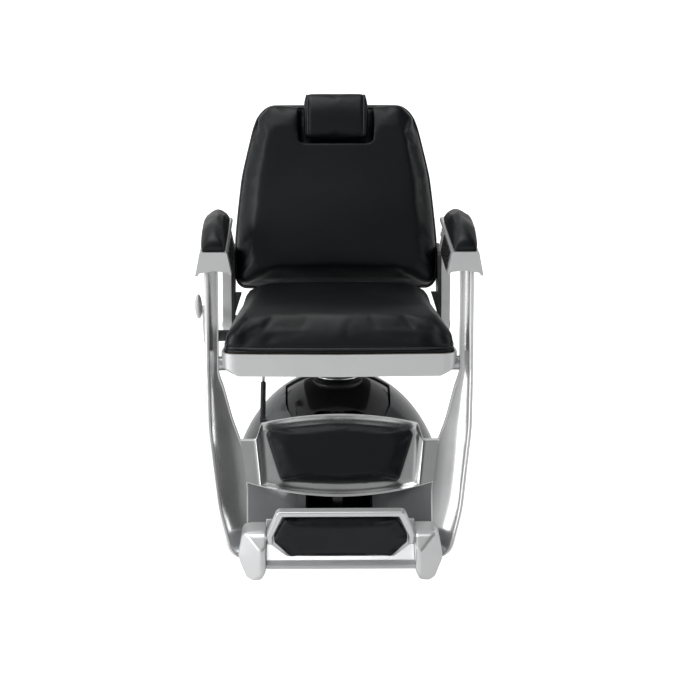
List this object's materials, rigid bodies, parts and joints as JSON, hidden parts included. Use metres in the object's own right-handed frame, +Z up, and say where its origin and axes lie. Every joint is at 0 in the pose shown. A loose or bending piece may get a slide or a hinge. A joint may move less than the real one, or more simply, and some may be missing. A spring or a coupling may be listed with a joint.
{
  "type": "hydraulic barber chair",
  "caption": "Hydraulic barber chair: padded seat, reclining back with headrest, armrests, linked leg-rest with flip foot board, on a lifting and swivelling column under an egg-shaped cowl.",
  "frame": {"origin": "on the floor, on the axis of the lifting column", "axes": "+Z up, the chair faces -Y, +X to the sitter's left"},
  "size_m": [0.684, 0.9021, 1.0583],
  "materials": {
    "floor_rubber": "matte black rubber",
    "base_paint": "black powder coat",
    "steel": "turned steel",
    "cowl_grey": "gloss anthracite moulding",
    "cowl_black": "gloss black moulding",
    "column_black": "gloss black enamel",
    "chrome": "hard chrome",
    "pump_iron": "painted casting",
    "frame_black": "satin black enamel",
    "aluminium": "satin polished casting",
    "plywood": "beech plywood",
    "leather": "smooth black upholstery leather",
    "shell_black": "fine textured black shell",
    "panel_black": "black trim panel",
    "lever_grey": "light grey grip"
  },
  "bodies": {
    "base": {"floor_pad": "floor_rubber", "base_plate": "base_paint", "base_bolts": "steel", "cowl_shell": "cowl_grey", "cowl_cap": "cowl_black", "cowl_liner": "cowl_black", "hydraulic_cylinder": "column_black", "cylinder_gland": "chrome", "pump_body": "pump_iron"},
    "lift_ram": {"ram": "chrome", "ram_flange": "steel", "thrust_bearing": "steel"},
    "seat": {"swivel_spindle": "steel", "seat_yoke": "frame_black", "yoke_bolts": "steel", "seat_pan": "aluminium", "seat_board": "plywood", "seat_cushion": "leather", "hub_axle": "steel", "hub_spacers": "steel", "rear_bracket_left": "frame_black", "rear_bracket_right": "frame_black", "rear_pins": "steel", "strut_bracket": "frame_black", "lever_boss": "frame_black"},
    "back": {"back_bracket_left": "frame_black", "back_bracket_right": "frame_black", "rear_link_left": "aluminium", "rear_link_right": "aluminium", "arm_pins_rear": "steel", "back_board": "plywood", "back_shell": "shell_black", "back_cushion": "leather", "headrest_guide": "frame_black"},
    "headrest_bar": {"headrest_post": "steel"},
    "headrest": {"headrest_plate": "frame_black", "headrest_pad": "leather"},
    "arm_left": {"armrest_left": "aluminium", "arm_pad_left": "leather", "arm_panel_left": "panel_black", "arm_pin_left": "steel"},
    "arm_right": {"armrest_right": "aluminium", "arm_pad_right": "leather", "arm_panel_right": "panel_black", "arm_pin_right": "steel"},
    "legrest": {"side_bar_left": "aluminium", "side_bar_right": "aluminium", "toe_lobe_left": "aluminium", "toe_lobe_right": "aluminium", "foot_beam": "aluminium", "calf_plate": "aluminium", "calf_pad": "leather", "calf_lug": "frame_black", "foot_pins": "steel"},
    "foot_board": {"foot_frame": "aluminium", "foot_pad": "leather"},
    "hand_lever": {"lever_arm": "aluminium", "lever_grip": "lever_grey"},
    "strut_tube": {"strut_cylinder": "frame_black"},
    "strut_piston": {"strut_rod": "chrome"}
  },
  "joints": [
    {"name": "lift", "type": "slide", "parent": "base", "child": "lift_ram", "axis": [0, 0, 1], "range_m": [0, 0.18]},
    {"name": "swivel", "type": "hinge", "parent": "lift_ram", "child": "seat", "pos_m": [0, 0, 0.43], "axis": [0, 0, 1], "continuous": true},
    {"name": "recline", "type": "hinge", "parent": "seat", "child": "back", "pos_m": [0, 0.18, 0.485], "axis": [-1, 0, 0], "range_deg": [0, 45]},
    {"name": "leg_raise", "type": "hinge", "parent": "seat", "child": "legrest", "pos_m": [0, -0.255, 0.485], "axis": [-1, 0, 0], "range_deg": [0, 45]},
    {"name": "arm_left_pivot", "type": "hinge", "parent": "back", "child": "arm_left", "pos_m": [-0.3, 0.18, 0.716], "axis": [-1, 0, 0], "range_deg": [-45, 0]},
    {"name": "arm_right_pivot", "type": "hinge", "parent": "back", "child": "arm_right", "pos_m": [0.3, 0.18, 0.716], "axis": [-1, 0, 0], "range_deg": [-45, 0]},
    {"name": "headrest_slide", "type": "slide", "parent": "back", "child": "headrest_bar", "axis": [0, 0.2756, 0.9613], "range_m": [0, 0.1]},
    {"name": "headrest_tilt", "type": "hinge", "parent": "headrest_bar", "child": "headrest", "pos_m": [0, 0.38627, 1.02896], "axis": [-1, 0, 0], "range_deg": [0, 30]},
    {"name": "foot_flip", "type": "hinge", "parent": "legrest", "child": "foot_board", "pos_m": [0, -0.478, 0.122], "axis": [1, 0, 0], "range_deg": [0, 95]},
    {"name": "lever_turn", "type": "hinge", "parent": "seat", "child": "hand_lever", "pos_m": [-0.3, 0.04, 0.487], "axis": [1, 0, 0], "range_deg": [0, 20], "stiffness_Nm_per_rad": 6, "springref_deg": -14.32},
    {"name": "strut_swing", "type": "hinge", "parent": "legrest", "child": "strut_tube", "pos_m": [-0.181, -0.272, 0.35], "axis": [-1, 0, 0], "range_deg": [-28.97, 0]},
    {"name": "strut_stroke", "type": "slide", "parent": "strut_tube", "child": "strut_piston", "axis": [0, 0.9093, 0.4161], "range_m": [0, 0.07284]}
  ],
  "couplings": [
    {"joint": "leg_raise", "follows": "recline", "ratio": 1},
    {"joint": "arm_left_pivot", "follows": "recline", "ratio": -1},
    {"joint": "arm_right_pivot", "follows": "recline", "ratio": -1},
    {"joint": "strut_swing", "follows": "recline", "ratio": -0.64348},
    {"joint": "strut_stroke", "follows": "recline", "m_per_rad": 0.09261}
  ]
}
